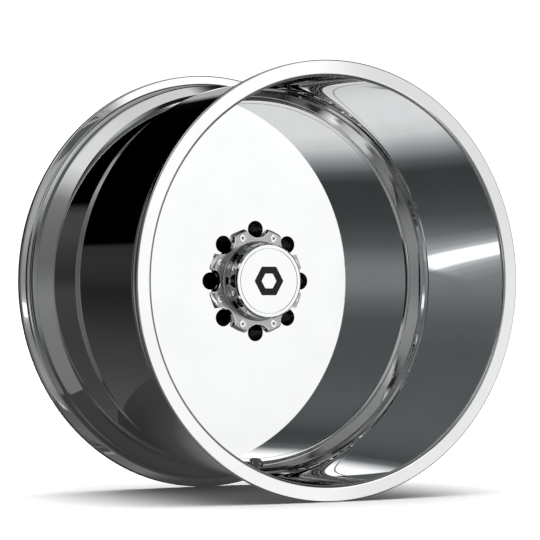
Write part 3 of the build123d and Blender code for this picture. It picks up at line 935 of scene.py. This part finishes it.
dress(base, [satin, machined, polished], base_faces)
dress(screws, [bright])
dress(pscrews, [zinc])
dress(puck, [polished, machined])
dress(plate, [polished, machined])
dress(mark, [enamel])
for ob in (vbody, vwash, vnut, vcap):
    dress(ob, [nickel_painted_shade])
dress(vgrom, [rubber])

for ob, body, node, slot in (
        (barrel, "wheel", "barrel", "polished_alloy"), (disc, "wheel", "centre_disc", "polished_alloy"),
        (weld, "wheel", "centre_weld", "weld_alloy"), (base, "wheel", "cap_base", "satin_alloy"),
        (screws, "wheel", "cap_screws", "bright_steel"), (pscrews, "wheel", "puck_screws", "zinc_steel"),
        (puck, "wheel", "cap_puck", "polished_alloy"), (plate, "wheel", "emblem_plate", "polished_alloy"),
        (mark, "wheel", "emblem_mark", "dark_enamel"), (vbody, "wheel", "valve_body", "plated_brass"),
        (vwash, "wheel", "valve_washer", "plated_brass"), (vnut, "wheel", "valve_nut", "plated_brass"),
        (vgrom, "wheel", "valve_grommet", "black_rubber"), (vcap, "valve_cap_turn", "valve_cap", "plated_brass")):
    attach(ob, body)
    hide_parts(node)

for node, m in (("cap_seal_ring", rubber), ("valve_core_body", brass), ("valve_core_seal", ptfe),
                ("valve_spring", zinc), ("valve_pin", brass), ("valve_pin_seal", rubber), ("valve_cap_seal", rubber)):
    if node in nodes:
        for s in nodes[node].material_slots:
            s.material = m

# a copy of the spring's mesh, on the wheel body, stands in for the imported spring
coil = bpy.data.objects.new("valve_spring_coil", nodes["valve_spring"].data.copy())
bpy.context.scene.collection.objects.link(coil)
coil.matrix_world = nodes["valve_spring"].matrix_world.copy()
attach(coil, "wheel")
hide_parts("valve_spring")
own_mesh(coil)

# ------------------------------------------------------------------- studio
scene = bpy.context.scene
scene.view_settings.view_transform = "Standard"

# plain pale floor, lit by the even white room
FLOOR_Z = -0.348
me = bpy.data.meshes.new("floor")
e_ = 60.0
me.from_pydata([(-e_, -e_, FLOOR_Z), (e_, -e_, FLOOR_Z), (e_, e_, FLOOR_Z), (-e_, e_, FLOOR_Z)], [], [(0, 1, 2, 3)])
floor = bpy.data.objects.new("studio_floor", me)
scene.collection.objects.link(floor)
fm = bpy.data.materials.new("floor_white")
fm.use_nodes = True
n = Nodes(fm.node_tree)
out = n.add("ShaderNodeOutputMaterial")
dif = n.add("ShaderNodeBsdfDiffuse")
dif.inputs["Color"].default_value = (0.9, 0.9, 0.9, 1)
n.t.links.new(dif.outputs[0], out.inputs["Surface"])
me.materials.append(fm)
floor.visible_glossy = False

# the room: light panels and dark corners placed by direction about the axle.
# turn is the angle round the axle in degrees (0 right, 90 up, 180 left, -90 down)
world = bpy.data.worlds.new("studio_room")
scene.world = world
world.use_nodes = True
n = Nodes(world.node_tree)
out = n.add("ShaderNodeOutputWorld")
bg = n.add("ShaderNodeBackground")
n.t.links.new(bg.outputs[0], out.inputs["Surface"])
sep = n.add("ShaderNodeSeparateXYZ")
n.put(sep.inputs[0], n.add("ShaderNodeTexCoord").outputs["Generated"])
dx, dy, dz = sep.outputs
turn = n.math("ADD", n.math("DIVIDE", n.math("ARCTAN2", dz, dx), 2 * pi), 0.5)
toward = n.math("MULTIPLY", dy, -1.0)
REFL = 0.91


def ring_of(stops, cool=0.0):
    out_ = []
    for ang, v in stops:
        l = srgb(v) / REFL if v < 252 else 1.35
        c = cool if v < 200 else 0.0
        out_.append(((ang + 180) / 360, (l * (1 - c), l * (1 + c * 0.3), l * (1 + c * 0.7))))
    return out_


# each ring is a list of (turn, brightness) at one angle from the axle's front end
INNER_RING = [(-180, 145), (-150, 136), (-120, 140), (-95, 150), (-75, 130), (-60, 85), (-45, 88), (-24, 92), (-9, 190),
              (8, 215), (18, 165), (45, 158), (67, 162), (110, 172), (140, 166), (160, 150), (180, 145)]
FRONT_RING = [(-180, 124), (-172, 124), (-165, 110), (-157, 86), (-142, 66), (-128, 60), (-116, 60),
              (-109, 90), (-100, 150), (-90, 205), (-77, 226), (-30, 225), (-8, 247), (42, 254), (47, 248),
              (54, 106), (61, 74), (70, 68), (84, 86), (100, 91), (125, 83), (143, 80), (157, 84), (168, 104),
              (176, 122), (180, 124)]
WALL_RING = [(-180, 128), (-172, 134), (-160, 128), (-150, 96), (-142, 76), (-128, 64), (-116, 60), (-109, 96),
             (-100, 160), (-90, 212), (-77, 228), (-60, 228), (-30, 200), (-13, 234), (-4, 235), (0, 234), (4, 224), (10, 222),
             (17, 240), (24, 252), (45, 252), (49.5, 248), (56.5, 108), (62, 74), (75, 88), (90, 93), (125, 88),
             (143, 86), (157, 94), (168, 108), (180, 126)]
NEAR_RING = [(-180, 130), (-150, 110), (-125, 100), (-112, 35), (-96, 22), (-86, 90), (-70, 92), (-55, 60),
             (0, 110), (40, 100), (50, 95), (62, 100), (76, 80), (88, 55), (98, 80), (110, 140), (150, 135), (180, 130)]
NEXT_RING = [(-180, 90), (-150, 112), (-130, 120), (-115, 75), (-98, 62), (-84, 100), (-68, 95), (-60, 28),
             (-48, 30), (0, 110), (48, 85), (62, 124), (74, 116), (80, 30), (93, 35), (102, 90), (112, 140), (120, 150),
             (150, 128), (163, 70), (180, 80)]
MID_RING = [(-180, 110), (-168, 60), (-150, 60), (-130, 85), (-118, 175), (-108, 238), (-87, 242), (-79, 50), (-70, 35),
            (-56, 42), (-48, 30), (0, 120), (40, 40), (48, 8), (58, 14), (66, 56), (75, 62), (83, 122), (100, 128),
            (108, 70), (128, 75), (145, 110), (160, 120), (180, 120)]
STEP_RING = [(-180, 30), (-160, 50), (-150, 125), (-125, 165), (-105, 212), (-94, 190), (-88, 50), (-79, 6), (-64, 8),
             (-52, 70), (-30, 110), (0, 120), (30, 100), (45, 20), (70, 14), (79, 30), (87, 124), (110, 137),
             (150, 130), (162, 50), (180, 35)]
FACE_RING = [(-180, 0), (-166, 4), (-157, 50), (-144, 80), (-130, 130), (-116, 110), (-102, 55), (-84, 60), (-72, 108),
             (-58, 140), (-30, 150), (0, 132), (30, 143), (50, 126), (65, 92), (84, 100), (100, 126), (125, 145),
             (138, 200), (152, 200), (159, 60), (165, 0), (180, 0)]
WIDE_RING = [(-180, 0), (-166, 4), (-156, 50), (-146, 75), (-120, 115), (-100, 88), (-80, 110), (-64, 100), (-50, 65),
             (-36, 105), (-20, 100), (0, 118), (22, 138), (34, 110), (42, 8), (56, 10), (66, 80), (80, 90), (95, 62),
             (112, 85), (124, 220), (145, 225), (154, 110), (161, 0), (180, 0)]
LAST_RING = [(-180, 30), (-164, 80), (-148, 90), (-118, 66), (-96, 70), (-84, 120), (-72, 80), (-58, 28), (-40, 35),
             (-24, 80), (-8, 122), (8, 110), (22, 100), (34, 40), (50, 14), (62, 20), (76, 110), (92, 150), (115, 170),
             (138, 190), (152, 80), (163, 10), (180, 12)]
SIDE_RING = [(-180, 116), (-172, 125), (-157, 118), (-127, 113), (-112, 93), (-97, 70), (-82, 42), (-67, 18),
             (-52, 2), (-44, 4), (-30, 110), (0, 190), (30, 190), (45, 60), (52, 20), (58, 110), (67, 208),
             (97, 204), (112, 218), (127, 219), (135, 188), (143, 124), (150, 112), (160, 104), (172, 101), (180, 112)]
LATE_RING = [(-180, 96), (-150, 100), (-120, 84), (-90, 48), (-60, 20), (-44, 8), (-28, 90), (0, 150), (28, 90), (44, 20),
             (76, 26), (90, 164), (128, 162), (142, 110), (155, 90), (180, 96)]
BACK_RING = [(-180, 52), (-172, 62), (-157, 60), (-142, 59), (-112, 64), (-97, 68), (-84, 74), (-70, 66), (-56, 56),
             (-42, 48), (-26, 84), (0, 150), (22, 168), (36, 165), (43, 8), (58, 0), (131.5, 0), (135, 50), (139, 65), (150, 66),
             (158, 58), (168, 50), (177, 44), (180, 48)]
TAIL_RING = [(-180, 40), (-173, 34), (-165, 38), (-157, 45), (-142, 56), (-127, 63), (-112, 70), (-97, 76), (-82, 80),
             (-67, 75), (-52, 70), (-40, 62), (-26, 90), (0, 130), (26, 90), (40, 12), (50, 0), (156, 0), (158.5, 43),
             (168, 46), (176, 43), (180, 41)]
steps = [(cos(radians(a_)), cos(radians(b_)), ring_) for a_, b_, ring_ in (
    (160.0, 166.0, TAIL_RING), (153.2, 155.6, BACK_RING), (137.0, 143.0, LATE_RING), (118.0, 123.0, SIDE_RING),
    (83.0, 90.0, LAST_RING),
    (75.0, 77.0, WIDE_RING), (68.0, 70.0, FACE_RING), (63.4, 64.6, STEP_RING), (59.4, 60.6, MID_RING),
    (55.4, 56.6, NEXT_RING), (51.2, 53.0, NEAR_RING), (40.5, 43.0, WALL_RING),
    (30.7, 32.2, FRONT_RING), (24.6, 26.2, INNER_RING))]
room = None
for k_, (hi_, lo_, ring_) in enumerate(steps):
    if k_ == 0:
        behind = n.mix(n.span(toward, cos(radians(176.0)), cos(radians(171.0)), 0.0, 1.0, True), (0.40, 0.40, 0.40, 1),
                       (0.07, 0.07, 0.07, 1))
        room = n.mix(n.span(toward, lo_, hi_, 0.0, 1.0, True), behind, n.ramp(turn, ring_of(ring_)))
    else:
        room = n.mix(n.span(toward, lo_, hi_, 0.0, 1.0, True), room,
                     n.ramp(turn, ring_of(ring_, 0.05 if ring_ in (FRONT_RING, WALL_RING) else 0.0)))
room = n.mix(n.span(toward, cos(radians(7.5)), cos(radians(5.5)), 0.0, 1.0, True), room, (0.012, 0.012, 0.012, 1))
lp = n.add("ShaderNodeLightPath")
above = n.math("MULTIPLY_ADD", n.math("POWER", n.math("MAXIMUM", dz, 0.0), 4.0), 4.6, 0.04)
soft = n.add("ShaderNodeCombineXYZ")
for k_ in range(3):
    n.put(soft.inputs[k_], above)
room = n.mix(lp.outputs["Is Diffuse Ray"], room, soft.outputs[0])
room = n.mix(lp.outputs["Is Camera Ray"], room, (1.2, 1.2, 1.2, 1))
n.put(bg.inputs["Color"], room)
world.cycles.sampling_method = "NONE"

def glow_card(name, middle, along, across, length, width, levels, ends, colour=(1.0, 1.0, 1.0)):
    """A soft light card. It only adds light to reflections: levels run across its half width."""
    a_, c_ = Vector(along).normalized(), Vector(across).normalized()
    m_ = Vector(middle)
    me = bpy.data.meshes.new(name)
    me.from_pydata([tuple(m_ + a_ * (sa * length / 2) + c_ * (sc * width / 2)) for sa, sc in
                    ((-1, -1), (1, -1), (1, 1), (-1, 1))], [], [(0, 1, 2, 3)])
    uv = me.uv_layers.new(name="card")
    for k, v in enumerate(((0.0, 0.0), (1.0, 0.0), (1.0, 1.0), (0.0, 1.0))):
        uv.data[k].uv = v
    ob = bpy.data.objects.new(name, me)
    scene.collection.objects.link(ob)
    mat = bpy.data.materials.new(name)
    mat.use_nodes = True
    q = Nodes(mat.node_tree)
    o = q.add("ShaderNodeOutputMaterial")
    em = q.add("ShaderNodeEmission")
    tr = q.add("ShaderNodeBsdfTransparent")
    ad = q.add("ShaderNodeAddShader")
    q.t.links.new(em.outputs[0], ad.inputs[0])
    q.t.links.new(tr.outputs[0], ad.inputs[1])
    q.t.links.new(ad.outputs[0], o.inputs["Surface"])
    s = q.add("ShaderNodeSeparateXYZ")
    q.put(s.inputs[0], q.add("ShaderNodeUVMap", uv_map="card").outputs[0])
    off = q.math("ABSOLUTE", q.math("MULTIPLY_ADD", s.outputs[1], 2.0, -1.0))
    level = q.ramp(off, [(p, (v, v, v)) for p, v in levels], "EASE")
    e = q.math("MULTIPLY", q.span(s.outputs[0], 0.0, ends[0], 0.0, 1.0, True),
               q.span(s.outputs[0], 1.0 - ends[1], 1.0, 1.0, 0.0, True))
    em.inputs["Color"].default_value = (*colour, 1.0)
    q.put(em.inputs["Strength"], q.math("MULTIPLY", level, q.math("MULTIPLY", e, 1.6)))
    mat.cycles.emission_sampling = "NONE"
    me.materials.append(mat)
    ob.visible_camera = ob.visible_diffuse = ob.visible_shadow = ob.visible_transmission = False
    return ob


# a soft strip light beside the viewer, slanting up to the right: its reflection crosses the dish wall
side_ = Vector((0.8680, -0.4965, 0.0)).normalized()
front_ = Vector((-0.4965, -0.8680, 0.0)).normalized()
up_ = Vector((0, 0, 1))
slant = side_ * 0.68 + up_ * 0.735
glow_card("strip_light", front_ * 1.3 + side_ * (-0.020) + up_ * (-0.222), slant, up_ * 0.68 - side_ * 0.735,
          0.36, 0.34, [(0.0, 0.78), (0.20, 0.74), (0.32, 0.20), (0.5, 0.085), (0.75, 0.03), (1.0, 0.0)], (0.1, 0.12))
# what the barrel sees of the floor under it: a card only reflections see, with painted shade standing in for the
# shadowed floor under the wheel: dim, a little lighter below the lip, darker towards its left end
me = bpy.data.meshes.new("floor_bounce")
me.from_pydata([(-0.40, -0.17, FLOOR_Z + 0.0006), (0.20, -0.17, FLOOR_Z + 0.0006), (0.20, 0.33, FLOOR_Z + 0.0006),
                (-0.40, 0.33, FLOOR_Z + 0.0006)], [], [(0, 1, 2, 3)])
bounce = bpy.data.objects.new("floor_bounce", me)
scene.collection.objects.link(bounce)
mat = bpy.data.materials.new("floor_bounce")
mat.use_nodes = True
q = Nodes(mat.node_tree)
o = q.add("ShaderNodeOutputMaterial")
em = q.add("ShaderNodeEmission")
q.t.links.new(em.outputs[0], o.inputs["Surface"])
s = q.add("ShaderNodeSeparateXYZ")
q.put(s.inputs[0], q.add("ShaderNodeTexCoord").outputs["Object"])
# painted shade of the floor: the card's brightness along its length, and a darker left end
lit = q.ramp(q.span(s.outputs[1], -0.20, 0.40, 0.0, 1.0), [(0.0, (0.12,) * 3), (0.40, (0.17,) * 3),
                                                          (0.56, (0.06,) * 3), (0.75, (0.03,) * 3), (1.0, (0.03,) * 3)])
q.put(em.inputs["Color"], q.mix(q.span(s.outputs[0], -0.40, -0.14, 0.0, 1.0, True), (0.05, 0.05, 0.05, 1), lit))
mat.cycles.emission_sampling = "NONE"
me.materials.append(mat)
bounce.visible_camera = bounce.visible_diffuse = bounce.visible_shadow = bounce.visible_transmission = False

# a dark and a bright card beside the hub cover: only the cover's round sides mirror them
def arc_card(name, reach0, reach1, spans, level):
    pts, faces_ = [], []
    for lo, hi in spans:
        k0 = len(pts)
        steps_ = 24
        for i in range(steps_ + 1):
            p = radians(lo + (hi - lo) * i / steps_)
            for reach in (reach0, reach1):
                pts.append((-0.062 * cos(p) - 0.4965 * reach * cos(2 * p), -0.200,
                            0.062 * sin(p) + 0.4965 * reach * sin(2 * p)))
        faces_ += [(k0 + 2 * i, k0 + 2 * i + 1, k0 + 2 * i + 3, k0 + 2 * i + 2) for i in range(steps_)]
    me_ = bpy.data.meshes.new(name)
    me_.from_pydata(pts, [], faces_)
    ob_ = bpy.data.objects.new(name, me_)
    scene.collection.objects.link(ob_)
    m_ = bpy.data.materials.new(name)
    m_.use_nodes = True
    q_ = Nodes(m_.node_tree)
    o_ = q_.add("ShaderNodeOutputMaterial")
    e_m = q_.add("ShaderNodeEmission")
    q_.t.links.new(e_m.outputs[0], o_.inputs["Surface"])
    e_m.inputs["Color"].default_value = (level, level, level, 1)
    m_.cycles.emission_sampling = "NONE"
    me_.materials.append(m_)
    ob_.visible_camera = ob_.visible_diffuse = ob_.visible_shadow = ob_.visible_transmission = False


arc_card("hub_card_dark", 0.3046, 0.372, [(-34.0, 17.0), (25.0, 34.0)], 0.003)
arc_card("hub_card_light", 0.272, 0.3040, [(-28.0, 28.0)], 1.1)
arc_card("hub_card_gap", 0.3046, 0.372, [(17.2, 24.8)], 0.9)

# ------------------------------------------------------------------- camera
cam = bpy.data.cameras.new("camera_main")
cam.lens = 198.7
cam.sensor_width = 36.0
cam.clip_start, cam.clip_end = 0.05, 200.0
camera = bpy.data.objects.new("camera_main", cam)
scene.collection.objects.link(camera)
look = Vector((0.4965, 0.8680, 0.0052)).normalized()
right = look.cross(Vector((0, 0, 1))).normalized()
up = right.cross(look)
camera.matrix_world = Matrix.Translation((-2.41507, -4.23388, -0.00739)) @ Matrix(
    (right, up, -look)).transposed().to_4x4()
scene.camera = camera

for t in (tmp_a, tmp_b):
    if t.users == 0:
        bpy.data.materials.remove(t)
